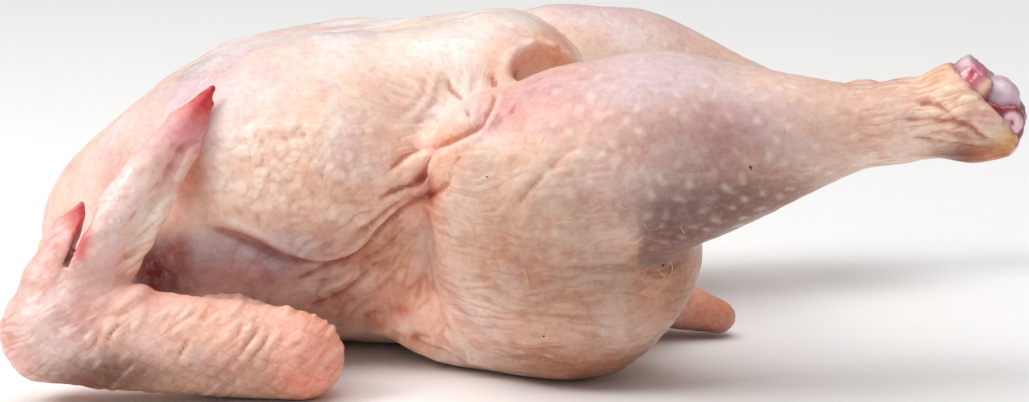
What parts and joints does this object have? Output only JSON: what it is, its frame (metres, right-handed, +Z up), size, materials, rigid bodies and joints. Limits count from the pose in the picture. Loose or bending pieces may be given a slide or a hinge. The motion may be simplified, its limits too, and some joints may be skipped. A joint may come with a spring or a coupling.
{
  "type": "whole raw chicken",
  "caption": "Plucked and drawn whole raw chicken on its back, wings folded, drumsticks stretched out, body cavity open at the tail and bone ends showing at the cut hocks.",
  "frame": {"origin": "on the table under the middle of the back, where the bird rests", "axes": "+X towards the tail and feet, +Z up from the table through the breast, -Y to the bird's right side"},
  "size_m": [0.2973, 0.2093, 0.1045],
  "materials": {
    "skin": "moist raw poultry skin, cream to pink with lilac drumsticks",
    "bone": "wet cartilage and bone"
  },
  "bodies": {
    "root": {"chicken": "skin", "right_leg_bone": "bone", "left_leg_bone": "bone"}
  },
  "joints": []
}
